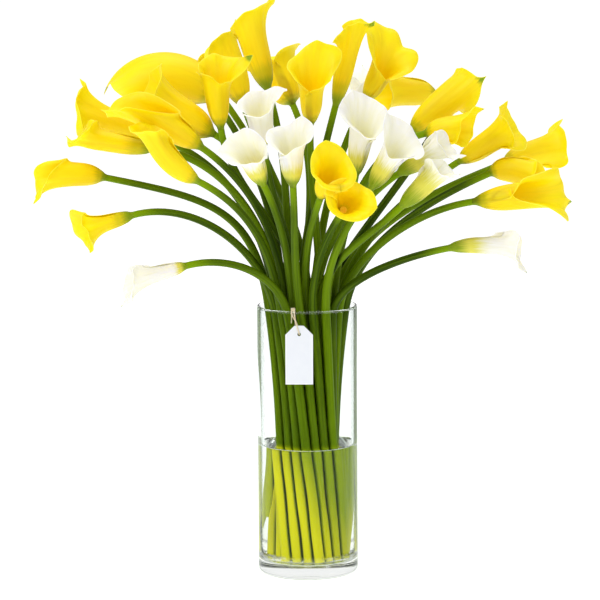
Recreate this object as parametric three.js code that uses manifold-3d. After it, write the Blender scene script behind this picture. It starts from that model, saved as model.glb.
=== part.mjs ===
// A vase of calla lilies: 35 cut stems, 25 yellow and 10 white, stand in a straight glass cylinder
// that is nearly half full of water. A blank paper tag hangs from the rim on a loop of twine.
// Millimetres, +Z up. The origin is the middle of the vase's flat foot, and -Y is the front.

import * as THREE from "three";
import { mergeVertices } from "three/addons/utils/BufferGeometryUtils.js";
import Module from "manifold-3d";

const wasm = await Module();
wasm.setup();

const GAP = 0.3; // clearance between pieces that touch

const VASE = { radius: 50, height: 270, wall: 3.2, floor: 14, footRound: 4.5, sides: 32 };
const VASE_BORE = VASE.radius - VASE.wall;
const WATER_LEVEL = 131;
const WATER_HOLE_RADIUS = 36; // the one round hole in the water that the bundle of stems stands in

const STEM_RADIUS = 4.6;
const NECK_RADIUS = 3.3; // a stem is thinner where it joins its flower
const STEM_SIDES = 7;
const SLOT_PITCH = 10; // the stems stand in a hexagonal bundle, this far apart
const STEM_FOOT = VASE.floor + 1;
const RIM_Z = 262; // where the bundle stops being a bundle and each stem goes its own way
const WAIST_Z = 150; // the bundle is tightest up to here
const RIM_SPREAD = 1.24; // how much wider the bundle is at the rim than at its waist
const TWIST = THREE.MathUtils.degToRad(0.2); // the bundle's spiral, for each millimetre of height
const RING_HEIGHTS = [STEM_FOOT, 40, 80, 120, 165, 215, RIM_Z];
const UPPER_RINGS = 6;

// Two neighbours that share a node are pressed together low in the water.
const PRESS = 1.05;
const PRESS_HEIGHTS = [40, 80];
const PRESS_REACH = 40;

// Two stems at the left swing out from the bundle below the water line.
const STRAY = { from: 128, to: 66, reach: 9.5 };

const SPATHE_WALL = 1.1;
const SPATHE_ANGLES = [0, 15, 45, 85, 130, 180, 230, 275, 315, 345].map(THREE.MathUtils.degToRad);
const SPATHE_STATIONS = [0.15, 0.4, 0.65, 0.85, 1];
const TUBE_BULGE = 0.085; // share of the length over which the spathe swells from the stem
const SPADIX = { foot: 3.2, reach: 0.55 };

// One row for each flower: its slot in the bundle (half pitches across, row from the front),
// where the spathe joins the stem, the way it points, the side of its long tip, and its length
// from joint to tip. A row also holds what differs from this usual flower: the front lip's share
// of the length, the tube's radius, the share of the length where the wall starts to turn out,
// how far it turns out at the front and at the back, in degrees, how far the whole spathe bows
// towards its tip, the share of the length that is the narrow point, and how far its stem arches,
// as a share of the straight way from the rim.
const USUAL = { lip: 0.75, tube: 11, from: 0.4, flare: 60, back: 30, bow: 0, point: 0.12, pull: 1.05 };
const YELLOW = [
  { slot: [-6, 0], base: [-196, -30, 401], aim: [-60, -12, 14], tip: [0, -0.2, -1], length: 82, lip: 0.86, tube: 12.5, from: 0.58, flare: 70, back: 42, bow: 34, pull: 1.15 },
  { slot: [-5, -1], base: [-168, -70, 369], aim: [-51, -12, -13], tip: [0.2, -0.2, -1], length: 59, lip: 1.06, tube: 7.5, from: 0.3, flare: 64, back: 50, bow: 6 },
  { slot: [-4, 0], base: [-146, -60, 430], aim: [-63, -12, 9], tip: [-0.2, -0.3, -1], length: 99, lip: 0.78, tube: 10, from: 0.5, flare: 62, back: -38, bow: -6 },
  { slot: [-4, -2], base: [-103, -105, 405], aim: [-47, -20, 47], tip: [-1, -0.2, -0.5], length: 82, lip: 0.75, tube: 14.5, from: 0.6, flare: 36, back: 16, bow: 2 },
  { slot: [-5, 1], base: [-137, -15, 438], aim: [-79, -10, 31], tip: [-0.3, 0.1, 1], length: 104, lip: 0.84, tube: 11.5, from: 0.5, flare: 68, back: 50 },
  { slot: [-4, 2], base: [-100, 35, 475], aim: [-37, 2, 63], tip: [1, 0, 0.6], length: 140, lip: 0.62, tube: 15, from: 0.4, flare: 22, back: -60, bow: -104 },
  { slot: [-3, -1], base: [-100, -75, 434], aim: [-54, -25, 41], tip: [-0.5, -0.2, -1], length: 106, lip: 0.74, tube: 13.5, from: 0.4, flare: 68, back: 12, bow: 8 },
  { slot: [-2, 0], base: [-98, -35, 444], aim: [-64, -5, 41], tip: [-0.6, 0.4, 0.8], length: 90 },
  { slot: [0, 0], base: [-83, -45, 450], aim: [-6, -12, 50], tip: [1, 0.3, 0.2], length: 84, lip: 0.6, tube: 12, from: 0.4, flare: 66, back: 50, bow: 10 },
  { slot: [-2, 2], base: [-82, 95, 464], aim: [-26, 15, 34], tip: [-1, 0.3, 0.3], length: 60, lip: 0.9, tube: 12, from: 0.4, flare: 60, back: 40 },
  { slot: [0, 2], base: [-62, 55, 462], aim: [-22, 15, 64], tip: [1, 0.4, 0.5], length: 92, lip: 0.8, tube: 15, from: 0.6, flare: 26, back: 15 },
  { slot: [-3, 1], base: [-37, -5, 483], aim: [-16.5, 5, 73], tip: [1, -0.4, 0.2], length: 98, lip: 0.8, tube: 14.5, from: 0.5, flare: 42, back: 42, point: 0.16 },
  { slot: [-1, 3], base: [-13, 90, 461], aim: [-24, 25, 52], tip: [0.2, 1, 0.3], length: 70, lip: 0.85, tube: 11, from: 0.4, flare: 54, back: 30 },
  { slot: [2, 0], base: [4, -35, 452], aim: [2, -20, 63], tip: [0.2, 1, 0.3], length: 84, lip: 0.5, tube: 12, from: 0.3, flare: 72, back: 25 },
  { slot: [-1, 1], base: [29, 0, 468], aim: [16.5, -5, 65], tip: [1, -0.7, 0], length: 98, lip: 0.86, tube: 10.5, from: 0.58, flare: 42, back: 26 },
  { slot: [1, 1], base: [59, 35, 469], aim: [28, -16, 53], tip: [-0.6, 0.7, 0.3], length: 83, lip: 0.66, tube: 12, from: 0.3, flare: 82, back: 30 },
  { slot: [2, 2], base: [133, 90, 471], aim: [-56, -18, 10], tip: [-0.2, -0.3, -1], length: 76, lip: 0.9, tube: 14.5, from: 0.4, flare: 62, back: 30, bow: 14, pull: 1.6 },
  { slot: [3, 1], base: [102, 0, 446], aim: [51, 5, 49], tip: [0.5, -0.8, 0], length: 90, lip: 0.88, tube: 11.5, from: 0.5, flare: -22, back: -6 },
  { slot: [4, 0], base: [115, -35, 436], aim: [42, -25, 19], tip: [0.4, 0.5, 1], length: 64, lip: 0.72, tube: 11, from: 0.35, flare: 70, back: 40 },
  { slot: [5, 1], base: [150, 5, 411], aim: [56, -10, 38], tip: [-0.2, 0.5, 1], length: 80, lip: 0.92, tube: 12, from: 0.45, flare: 64, back: 40 },
  { slot: [4, 2], base: [198, 70, 402], aim: [62, 18, 22], tip: [0, 0.2, 1], length: 79, lip: 0.9, tube: 14, from: 0.5, flare: 60, back: 56, bow: -10 },
  { slot: [6, 0], base: [180, -10, 401], aim: [53, -10, 24], tip: [0.2, -0.3, -1], length: 64, lip: 0.66, tube: 13, from: 0.6, flare: 12, back: 4, bow: 60 },
  { slot: [5, -1], base: [161, -60, 379], aim: [90, -12, 32], tip: [0.3, -0.2, -1], length: 115, lip: 0.86, tube: 13.5, from: 0.6, flare: 76, back: 54, bow: 36, pull: 0.95 },
  { slot: [0, -2], base: [13, -115, 390], aim: [12, -36, 37], tip: [-0.4, 0.6, 1], length: 66, lip: 0.8, tube: 11, from: 0.25, flare: 62, back: 34 },
  { slot: [1, -3], base: [34, -123, 378], aim: [8, -37, 17], tip: [0.9, -0.3, -0.6], length: 60, lip: 0.45, tube: 11, from: 0.25, flare: 76, back: 40 },
];

const WHITE = [
  { slot: [-3, -3], base: [-116, -90, 322], aim: [-59, -18, -14], tip: [-0.2, -0.1, -1], length: 77, lip: 0.76, tube: 8, from: 0.38, flare: 48, back: 32, bow: 4 },
  { slot: [-1, -1], base: [-41, -80, 436], aim: [-4, -14, 43], tip: [1, 0.4, 0.4], length: 66, lip: 0.55, tube: 11.5, from: 0.35, flare: 72, back: 56 },
  { slot: [-2, -2], base: [-41, -110, 402], aim: [-19, -25, 43], tip: [-1, 0.4, -0.3], length: 71, lip: 0.53, tube: 11, from: 0.3, flare: 78, back: 40 },
  { slot: [-1, -3], base: [-13, -115, 401], aim: [-2, -17, 48], tip: [1, 0.5, 0.4], length: 74, lip: 0.55, tube: 11.5, from: 0.35, flare: 72, back: 30 },
  { slot: [1, -1], base: [47, -85, 408], aim: [7, -20, 55], tip: [-0.9, 0.6, 0.8], length: 88, lip: 0.48, tube: 11, from: 0.3, flare: 76, back: 12 },
  { slot: [1, 3], base: [56, 130, 437], aim: [1, 20, 50], tip: [0.1, 1, 0.1], length: 76 },
  { slot: [3, -3], base: [61, -105, 397], aim: [31, -17, 51], tip: [-0.6, 0.3, 0.8], length: 75, lip: 0.8, tube: 11, from: 0.3, flare: 74, back: 34 },
  { slot: [3, -1], base: [88, -75, 408], aim: [36, -10, 25], tip: [0.6, -0.2, -0.8], length: 70, lip: 0.8, tube: 8.5, from: 0.4, flare: 76, back: 26, bow: 8 },
  { slot: [2, -2], base: [90, -100, 379], aim: [42, -15, 42], tip: [0.6, -0.3, -0.8], length: 70, lip: 0.86, tube: 9.5, from: 0.5, flare: 52, back: 26 },
  { slot: [4, -2], base: [137, -70, 335], aim: [68, -10, 13], tip: [0.1, -0.2, -1], length: 84, lip: 0.84, tube: 8, from: 0.5, flare: 70, back: 44, bow: 26, pull: 0.8 },
];

// Neighbours in the bundle that are one node, by name. The others have a node of their own.
const PAIRS = [
  ["white_01", "white_04"], ["yellow_04", "white_03"], ["white_09", "white_07"],
  ["yellow_02", "yellow_07"], ["white_02", "white_05"], ["white_08", "yellow_23"],
  ["yellow_01", "yellow_03"], ["yellow_08", "yellow_09"], ["yellow_14", "yellow_19"],
  ["yellow_12", "yellow_15"], ["yellow_16", "yellow_18"], ["yellow_10", "yellow_11"],
  ["yellow_17", "yellow_21"], ["yellow_13", "white_06"],
];
const STRAYS = ["yellow_05", "yellow_06"];
const STRAY_FEET = [58, 44];

const TAG = { width: 27, height: 58, thick: 0.7, shoulder: 9, neck: 9, hole: 1.7, holeDrop: 8.6 };
const TAG_PLACE = { x: -8, top: 257, lean: 2.2, turn: -2.2 };
const TWINE_RADIUS = 0.7;

const COLOURS = {
  glass: { color: 0xdfe8e2, roughness: 0.05, transparent: true, opacity: 0.35 },
  water: { color: 0xdce8e0, roughness: 0.05, transparent: true, opacity: 0.45 },
  stem: { color: 0x55790c, roughness: 0.45 },
  yellow: { color: 0xf6d414, roughness: 0.5 },
  white: { color: 0xf0efe0, roughness: 0.5 },
  paper: { color: 0xeceff4, roughness: 0.8 },
  twine: { color: 0xd8cba8, roughness: 0.9 },
};

const twoDigits = (n) => String(n).padStart(2, "0");
const flowers = [
  ...YELLOW.map((flower, i) => ({ ...USUAL, ...flower, name: `yellow_${twoDigits(i + 1)}`, colour: "yellow" })),
  ...WHITE.map((flower, i) => ({ ...USUAL, ...flower, name: `white_${twoDigits(i + 1)}`, colour: "white" })),
];
const flowerNamed = Object.fromEntries(flowers.map((flower) => [flower.name, flower]));

// A geometry's closed surface as a solid that can be joined and cut.
function solidOf(geometry) {
  const bare = geometry.index ? geometry.toNonIndexed() : geometry.clone();
  bare.deleteAttribute("normal");
  bare.deleteAttribute("uv");
  const merged = mergeVertices(bare, 1e-3);
  return new wasm.Manifold(
    new wasm.Mesh({
      numProp: 3,
      vertProperties: merged.attributes.position.array,
      triVerts: new Uint32Array(merged.index.array),
    }),
  );
}

// A solid's surface as a geometry again.
function geometryOf(solid) {
  const mesh = solid.getMesh();
  const geometry = new THREE.BufferGeometry();
  geometry.setAttribute("position", new THREE.BufferAttribute(mesh.vertProperties, mesh.numProp));
  geometry.setIndex(new THREE.BufferAttribute(mesh.triVerts, 1));
  return geometry;
}

// The slot's place across the bundle, before the bundle spreads and turns.
function slotPlace(flower) {
  const [halves, row] = flower.slot;
  return new THREE.Vector2((halves * SLOT_PITCH) / 2, (row * SLOT_PITCH * Math.sqrt(3)) / 2);
}

const pairOf = (flower) => PAIRS.find((names) => names.includes(flower.name));

function partnerOf(flower) {
  const pair = pairOf(flower);
  return pair ? flowerNamed[pair.find((name) => name !== flower.name)] : null;
}

// Inside the vase: the bundle is a twisted hexagonal pack that opens towards the rim.
function lowerPoint(flower, z) {
  const place = slotPlace(flower);
  const partner = partnerOf(flower);
  if (partner) {
    const row = flowerNamed[pairOf(flower)[0]].slot[1];
    const pressZ = PRESS_HEIGHTS[Math.abs(row) % PRESS_HEIGHTS.length];
    const near = Math.max(0, 1 - Math.abs(z - pressZ) / PRESS_REACH);
    const across = slotPlace(partner).sub(place).normalize();
    place.addScaledVector(across, PRESS * near);
  }
  const open = THREE.MathUtils.clamp((z - WAIST_Z) / (RIM_Z - WAIST_Z), 0, 1.5);
  place.multiplyScalar(1 + (RIM_SPREAD - 1) * open * open);
  if (STRAYS.includes(flower.name)) {
    const out = THREE.MathUtils.smoothstep(STRAY.from - z, 0, STRAY.from - STRAY.to);
    place.setLength(place.length() + STRAY.reach * out);
  }
  place.rotateAround(new THREE.Vector2(), TWIST * (RIM_Z - z));
  return new THREE.Vector3(place.x, place.y, z);
}

// Above the rim: each stem arches from its place in the bundle to its flower.
function upperPoint(flower, t) {
  const from = lowerPoint(flower, RIM_Z);
  const rise = from.clone().sub(lowerPoint(flower, RIM_Z - 1)).normalize();
  const to = new THREE.Vector3(...flower.base);
  const aim = new THREE.Vector3(...flower.aim).normalize();
  to.addScaledVector(aim, -GAP);
  const pull = flower.pull * from.distanceTo(to);
  const t2 = t * t;
  const t3 = t2 * t;
  return new THREE.Vector3()
    .addScaledVector(from, 2 * t3 - 3 * t2 + 1)
    .addScaledVector(rise, pull * (t3 - 2 * t2 + t))
    .addScaledVector(to, 3 * t2 - 2 * t3)
    .addScaledVector(aim, pull * (t3 - t2));
}

// A stem's middle line, with its rings close together where it bends.
// A stray stem is cut shorter: its lowest part is squeezed into the height above its own foot.
function stemHeight(flower, z) {
  const foot = STRAY_FEET[STRAYS.indexOf(flower.name)] ?? STEM_FOOT;
  const top = RING_HEIGHTS[3];
  return z > top ? z : foot + ((z - STEM_FOOT) / (top - STEM_FOOT)) * (top - foot);
}

class StemLine extends THREE.Curve {
  constructor(flower) {
    super();
    this.flower = flower;
  }
  getPoint(u) {
    const lowerSteps = RING_HEIGHTS.length - 1;
    const step = u * (lowerSteps + UPPER_RINGS);
    if (step >= lowerSteps) return upperPoint(this.flower, (step - lowerSteps) / UPPER_RINGS);
    const whole = Math.min(Math.max(Math.floor(step), 0), lowerSteps - 1);
    const [low, high] = RING_HEIGHTS.slice(whole, whole + 2);
    return lowerPoint(this.flower, stemHeight(this.flower, THREE.MathUtils.lerp(low, high, step - whole)));
  }
  getUtoTmapping(u) {
    return u;
  }
}

// Closes rings of points, stacked one on the next, into one skin with a fan at each end.
function skin(rings, tail, head, flipped = []) {
  const count = rings[0].length;
  const points = [tail, ...rings.flat(), head];
  const at = (ring, i) => 1 + ring * count + (i % count);
  const faces = [];
  for (let i = 0; i < count; i++) {
    faces.push(0, at(0, i + 1), at(0, i));
    faces.push(points.length - 1, at(rings.length - 1, i), at(rings.length - 1, i + 1));
  }
  for (let ring = 0; ring < rings.length - 1; ring++) {
    for (let i = 0; i < count; i++) {
      const [a, b] = [at(ring, i), at(ring, i + 1)];
      const [c, d] = [at(ring + 1, i + 1), at(ring + 1, i)];
      if (flipped.includes(ring)) faces.push(a, b, d, b, c, d);
      else faces.push(a, b, c, a, c, d);
    }
  }
  const geometry = new THREE.BufferGeometry().setFromPoints(points);
  geometry.setIndex(faces);
  return geometry;
}

function stemGeometry(flower, extra = 0) {
  const line = new StemLine(flower);
  const steps = RING_HEIGHTS.length - 1 + UPPER_RINGS;
  const { normals, binormals } = line.computeFrenetFrames(steps);
  const rings = normals.map((normal, k) => {
    const upper = Math.max(0, (k - RING_HEIGHTS.length + 1) / UPPER_RINGS);
    const radius = THREE.MathUtils.lerp(STEM_RADIUS, NECK_RADIUS, upper ** 0.7) + extra;
    const ring = [];
    for (let i = 0; i < STEM_SIDES; i++) {
      const angle = (i / STEM_SIDES) * 2 * Math.PI;
      const point = line.getPoint(k / steps).addScaledVector(normal, radius * Math.cos(angle));
      ring.push(point.addScaledVector(binormals[k], radius * Math.sin(angle)));
    }
    return ring;
  });
  for (const point of rings[0]) point.z -= extra;
  const foot = line.getPoint(0);
  foot.z -= extra;
  return skin(rings, foot, line.getPoint(1));
}

// Where each part of a spathe is: a bowed axis, with the tip side and the side across it.
function spatheFrame(flower) {
  const along = new THREE.Vector3(...flower.aim).normalize();
  const tipSide = new THREE.Vector3(...flower.tip);
  tipSide.addScaledVector(along, -tipSide.dot(along)).normalize();
  const across = along.clone().cross(tipSide);
  const base = new THREE.Vector3(...flower.base);
  const bend = THREE.MathUtils.degToRad(flower.bow) / flower.length;
  return (height, radius, angle) => {
    const turned = bend * height;
    const middle = base.clone();
    middle.addScaledVector(along, bend ? Math.sin(turned) / bend : height);
    middle.addScaledVector(tipSide, bend ? (1 - Math.cos(turned)) / bend : 0);
    const side = tipSide.clone().multiplyScalar(Math.cos(turned)).addScaledVector(along, -Math.sin(turned));
    return middle
      .addScaledVector(side, radius * Math.cos(angle))
      .addScaledVector(across, radius * Math.sin(angle));
  };
}

// The wall's length from the joint to the rim: long at the pointed tip, short at the front.
function wallLength({ length, lip, point }, angle) {
  const fromTip = Math.abs(Math.atan2(Math.sin(angle), Math.cos(angle)));
  const back = (1 + Math.cos(angle)) / 2;
  return length * (lip + (1 - lip - point) * Math.pow(back, 0.8) + point * Math.exp(-fromTip / 0.32));
}

// The wall's profile at one angle: radius, height and slope at each station up to the rim.
function wallProfile(flower, angle) {
  const total = wallLength(flower, angle);
  const back = (1 + Math.cos(angle)) / 2;
  const flare = THREE.MathUtils.degToRad(THREE.MathUtils.lerp(flower.flare, flower.back, back * back));
  const flareFrom = flower.from * flower.length;
  const bulge = TUBE_BULGE * flower.length;
  const steps = 40;
  const stations = [];
  let radius = STEM_RADIUS - 0.1;
  let height = 0;
  for (let i = 0; i < steps; i++) {
    const travelled = ((i + 0.5) / steps) * total;
    const swell = ((flower.tube - STEM_RADIUS) / bulge) * (travelled / bulge) * Math.exp(-travelled / bulge);
    const turn = Math.max(0, (travelled - flareFrom) / (total - flareFrom));
    const slope = Math.asin(Math.min(swell, 0.9)) + flare * Math.pow(turn, 1.5);
    radius += (Math.sin(slope) * total) / steps;
    height += (Math.cos(slope) * total) / steps;
    if (SPATHE_STATIONS.some((s) => Math.round(s * steps) === i + 1)) stations.push({ radius, height, slope });
  }
  return stations;
}

// A bloom: the spathe is one thin sheet rolled to a funnel, and the spadix stands in its throat.
function bloomGeometry(flower) {
  const place = spatheFrame(flower);
  const profiles = SPATHE_ANGLES.map((angle) => wallProfile(flower, angle));
  const outer = SPATHE_STATIONS.map((_, k) =>
    SPATHE_ANGLES.map((angle, j) => place(profiles[j][k].height, profiles[j][k].radius, angle)),
  );
  const inner = SPATHE_STATIONS.map((_, k) =>
    SPATHE_ANGLES.map((angle, j) => {
      const { radius, height, slope } = profiles[j][k];
      const inwards = radius - SPATHE_WALL * Math.cos(slope);
      return place(height + SPATHE_WALL * Math.sin(slope), inwards, angle);
    }),
  );
  const ring = (height, radius) => SPATHE_ANGLES.map((angle) => place(height, radius, angle));
  const floor = profiles[0][0].height;
  const rings = [
    ring(0, STEM_RADIUS - 0.1),
    ...outer,
    ...inner.reverse(),
    ring(floor + SPATHE_WALL, SPADIX.foot),
  ];
  const innerBands = SPATHE_STATIONS.slice(1).map((_, k) => SPATHE_STATIONS.length + 1 + k);
  return skin(rings, place(0, 0, 0), place(SPADIX.reach * flower.length, 0, 0), innerBands);
}

function vaseGeometry() {
  const { radius, height, floor, footRound, sides } = VASE;
  const lip = VASE.wall / 2;
  const profile = [[0, 0], [radius - footRound, 0]];
  for (const degrees of [30, 60, 90]) {
    const turn = THREE.MathUtils.degToRad(degrees);
    profile.push([radius - footRound * (1 - Math.sin(turn)), footRound * (1 - Math.cos(turn))]);
  }
  for (const degrees of [0, 45, 90, 135, 180]) {
    const turn = THREE.MathUtils.degToRad(degrees);
    profile.push([radius - lip + lip * Math.cos(turn), height - lip + lip * Math.sin(turn)]);
  }
  profile.push([VASE_BORE, floor + footRound], [VASE_BORE - footRound / 3, floor + footRound / 3]);
  profile.push([VASE_BORE - footRound, floor], [0, floor]);
  const points = profile.map(([x, y]) => new THREE.Vector2(x, y));
  return new THREE.LatheGeometry(points, sides).rotateX(Math.PI / 2);
}

// The water fills the vase round the bundle, with a hole for each stem that strays from it.
function waterGeometry() {
  const { floor, footRound, sides } = VASE;
  const low = floor + GAP;
  const bore = VASE_BORE - GAP - 0.2;
  const profile = [
    [WATER_HOLE_RADIUS, low], [bore - footRound, low], [bore, low + footRound],
    [bore, WATER_LEVEL], [WATER_HOLE_RADIUS, WATER_LEVEL], [WATER_HOLE_RADIUS, low],
  ];
  const points = profile.map(([x, y]) => new THREE.Vector2(x, y));
  let water = solidOf(new THREE.LatheGeometry(points, sides).rotateX(Math.PI / 2));
  for (const name of STRAYS) {
    water = water.subtract(solidOf(stemGeometry(flowerNamed[name], GAP + 0.1)));
  }
  const bodies = water.decompose().sort((a, b) => b.volume() - a.volume());
  return geometryOf(bodies[0]);
}

function tagGeometry() {
  const { width, height, thick, shoulder, neck, hole, holeDrop } = TAG;
  const half = width / 2;
  const outline = [
    [-half, -height], [half, -height], [half, -shoulder], [neck / 2, 0], [-neck / 2, 0], [-half, -shoulder],
  ];
  const shape = new THREE.Shape(outline.map(([x, y]) => new THREE.Vector2(x, y)));
  shape.holes.push(new THREE.Path().absarc(0, -holeDrop, hole, 0, 2 * Math.PI, true));
  return new THREE.ExtrudeGeometry(shape, { depth: thick, bevelEnabled: false, curveSegments: 6 });
}

function polygon(radius, sides) {
  const points = [];
  for (let i = 0; i < sides; i++) {
    const angle = (i / sides) * 2 * Math.PI;
    points.push(new THREE.Vector2(Math.cos(angle) * radius, Math.sin(angle) * radius));
  }
  return new THREE.Shape(points);
}

// The twine: down inside the rim, over it, through the tag's hole and back the same way.
function twineGeometry() {
  const out = VASE.radius + GAP + TWINE_RADIUS;
  const inside = VASE_BORE - GAP - TWINE_RADIUS - 0.4;
  const over = VASE.height + GAP + TWINE_RADIUS + 1.8;
  const holeZ = TAG_PLACE.top - TAG.holeDrop;
  const route = [
    [-11.5, inside, 256], [-12.2, inside - 0.6, 266.5], [-12.6, (out + inside) / 2, over],
    [-12.6, out + 0.4, 267], [-11.2, out + 2.6, 260], [-9, out + 4.1, 252.5],
    [-8, out + 3.6, holeZ + 0.6], [-7.9, out + 1.5, holeZ + 0.2], [-8.4, out + 0.3, 251.5],
    [-10.4, out, 259], [-14.6, out + 0.4, 266.5], [-15.2, (out + inside) / 2, over],
    [-15.2, inside - 0.6, 266.5], [-15.6, inside, 258],
  ];
  const points = route.map(([x, r, z]) => new THREE.Vector3(x, -Math.sqrt(r * r - x * x), z));
  const path = new THREE.CatmullRomCurve3(points);
  return new THREE.ExtrudeGeometry(polygon(TWINE_RADIUS, 8), { steps: 48, extrudePath: path });
}

const group = new THREE.Group();

function addMesh(name, geometry, colour) {
  const mesh = new THREE.Mesh(geometry, new THREE.MeshStandardMaterial({ name: colour, ...COLOURS[colour] }));
  mesh.name = name;
  group.add(mesh);
  return mesh;
}

addMesh("vase", vaseGeometry(), "glass");
addMesh("water", waterGeometry(), "water");

for (const flower of flowers) {
  addMesh(`bloom_${flower.name}`, bloomGeometry(flower), flower.colour);
  const partner = partnerOf(flower);
  if (!partner) {
    addMesh(`stem_${flower.name}`, stemGeometry(flower), "stem");
  } else if (PAIRS.some(([first]) => first === flower.name)) {
    const joined = solidOf(stemGeometry(flower)).add(solidOf(stemGeometry(partner)));
    addMesh(`stems_${flower.name}_${partner.name}`, geometryOf(joined), "stem");
  }
}

const tag = addMesh("tag", tagGeometry().translate(0, 0, -TAG.thick / 2), "paper");
tag.rotation.set(
  Math.PI / 2 - THREE.MathUtils.degToRad(TAG_PLACE.lean),
  0,
  THREE.MathUtils.degToRad(TAG_PLACE.turn),
  "ZXY",
);
tag.position.set(TAG_PLACE.x, -Math.sqrt(VASE.radius ** 2 - TAG_PLACE.x ** 2) - 3, TAG_PLACE.top);
addMesh("tag_twine", twineGeometry(), "twine");

export default group;
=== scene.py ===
import math
import random

import bpy
from mathutils import Matrix, Vector
from mathutils.kdtree import KDTree


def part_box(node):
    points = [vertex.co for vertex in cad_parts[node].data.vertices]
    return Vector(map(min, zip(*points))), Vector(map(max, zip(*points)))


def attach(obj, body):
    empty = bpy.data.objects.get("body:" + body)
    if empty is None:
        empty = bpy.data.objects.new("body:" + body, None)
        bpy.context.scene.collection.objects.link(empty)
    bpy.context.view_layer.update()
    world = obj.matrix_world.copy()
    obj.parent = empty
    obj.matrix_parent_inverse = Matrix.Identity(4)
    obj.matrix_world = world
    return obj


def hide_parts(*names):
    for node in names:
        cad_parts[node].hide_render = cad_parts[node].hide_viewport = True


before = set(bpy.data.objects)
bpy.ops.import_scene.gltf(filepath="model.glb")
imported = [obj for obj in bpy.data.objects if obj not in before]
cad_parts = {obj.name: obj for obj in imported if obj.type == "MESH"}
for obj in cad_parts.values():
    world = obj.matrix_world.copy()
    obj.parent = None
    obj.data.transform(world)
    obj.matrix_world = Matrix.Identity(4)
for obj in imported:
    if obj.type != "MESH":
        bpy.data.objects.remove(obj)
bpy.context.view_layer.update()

# The vase is a straight cylinder of clear glass with a thick foot. It is blown in a mould, its rim
# is melted round in a flame, and the foot's edge and the inside corner stay soft.

VASE_RADIUS, _, VASE_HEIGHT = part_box("vase")[1]
WALL = 0.0032
BORE = VASE_RADIUS - WALL
GLASS_FLOOR = 0.014
FOOT_ROUND = 0.0045
PUNT = 0.0012  # how far the foot is hollowed under its middle
GLASS_SIDES = 128
GLASS_BEND = 1.5
FOOT_ENDS = (0.019, 0.024)  # heights between which the foot passes into the wall
RIM_STARTS = (VASE_HEIGHT - 0.0012, VASE_HEIGHT - 0.003)
EDGE_STARTS = (0.56, 0.7)  # how far a wall is turned away where it starts to bend light


class Wire:
    """One output of a shader node, which can be added, taken away and multiplied like a number."""

    def __init__(self, tree, socket=None):
        self.tree = tree
        self.socket = socket

    def node(self, kind, settings, sockets, output=0):
        """Adds a node: first its settings, then what its sockets hold, as values or as wires."""
        made = self.tree.nodes.new("ShaderNode" + kind)
        for name, value in settings.items():
            setattr(made, name, value)
        for name, value in sockets.items():
            if isinstance(value, Wire):
                self.tree.links.new(value.socket, made.inputs[name])
            else:
                made.inputs[name].default_value = value
        return Wire(self.tree, made.outputs[output] if len(made.outputs) else None)

    def read(self, key, output="Fac"):
        """The values that a mesh stores at its points under a name."""
        return self.node("Attribute", {"attribute_name": key}, {}, output)

    def spot(self):
        return self.node("TexCoord", {}, {}, output="Object")

    def ray(self, output):
        return self.node("LightPath", {}, {}, output)

    def noise(self, spot, scale, detail):
        return self.node("TexNoise", {}, {"Vector": spot, "Scale": scale, "Detail": detail})

    def bump(self, height, strength, distance, invert=False):
        sockets = {"Strength": strength, "Distance": distance, "Height": height}
        return self.node("Bump", {"invert": invert}, sockets)

    def surface(self, skin):
        """Ends a material in one shader, whose sockets hold what is given by name."""
        self.node("OutputMaterial", {}, {"Surface": self.node("BsdfPrincipled", {}, skin)})

    def maths(self, operation, first, second):
        return self.node("Math", {"operation": operation}, {0: first, 1: second})

    def __add__(self, other):
        return self.maths("ADD", self, other)

    def __sub__(self, other):
        return self.maths("SUBTRACT", self, other)

    def __rsub__(self, other):
        return self.maths("SUBTRACT", other, self)

    def __mul__(self, other):
        return self.maths("MULTIPLY", self, other)

    __radd__ = __add__
    __rmul__ = __mul__

    def step(self, low, high):
        """Rises smoothly from 0 where this is low to 1 where it is high."""
        limits = {"Value": self, "From Min": low, "From Max": high}
        return self.node("MapRange", {"interpolation_type": "SMOOTHSTEP"}, limits)

    def blend(self, one, other):
        """The first colour where this is 0 and the other where it is 1."""
        return self.node("Mix", {"data_type": "RGBA"}, {0: self, 6: one, 7: other}, output=2)


def finish(name):
    """A new material, and a wire to add its nodes with."""
    made = bpy.data.materials.new(name)
    made.use_nodes = True
    made.node_tree.nodes.clear()
    return made, Wire(made.node_tree)


def paint(red, green, blue):
    """A colour as a screen shows it, from 0 to 255, in the linear numbers that a shader takes."""
    return tuple(((v / 255 + 0.055) / 1.055) ** 2.4 for v in (red, green, blue)) + (1.0,)


def clear_finish(name, tint, bend, thin=False):
    """A clear, bending material that lets the light of lamps straight through to what it holds.
    A thin wall bends what is seen through it at its edges and its foot only."""
    made, wire = finish(name)
    body = {"Base Color": tint, "Roughness": 0.0, "IOR": bend, "Transmission Weight": 1.0}
    solid = wire.node("BsdfPrincipled", {}, body)
    film = wire.node("BsdfTransparent", {}, {"Color": tint})
    for_light = wire.ray("Is Shadow Ray")
    for_glow = wire.ray("Is Diffuse Ray")
    straight = for_light + for_glow
    if thin:
        spot = wire.spot()
        up = wire.node("SeparateXYZ", {}, {"Vector": spot}, output="Z")
        wall = up.step(*FOOT_ENDS) * up.step(*RIM_STARTS)
        turned_away = wire.node("LayerWeight", {}, {"Blend": 0.5}, output="Facing")
        straight = straight + (1 - turned_away.step(*EDGE_STARTS)) * wall
    both = wire.node("MixShader", {}, {0: straight, 1: solid, 2: film})
    wire.node("OutputMaterial", {}, {"Surface": both})
    return made


def arc(middle, radius, start, stop, steps):
    """Points on a circle in a profile, as radius and height, between two angles in degrees."""
    turns = [math.radians(start + (stop - start) * k / steps) for k in range(steps + 1)]
    return [(middle[0] + radius * math.cos(t), middle[1] + radius * math.sin(t)) for t in turns]


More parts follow.
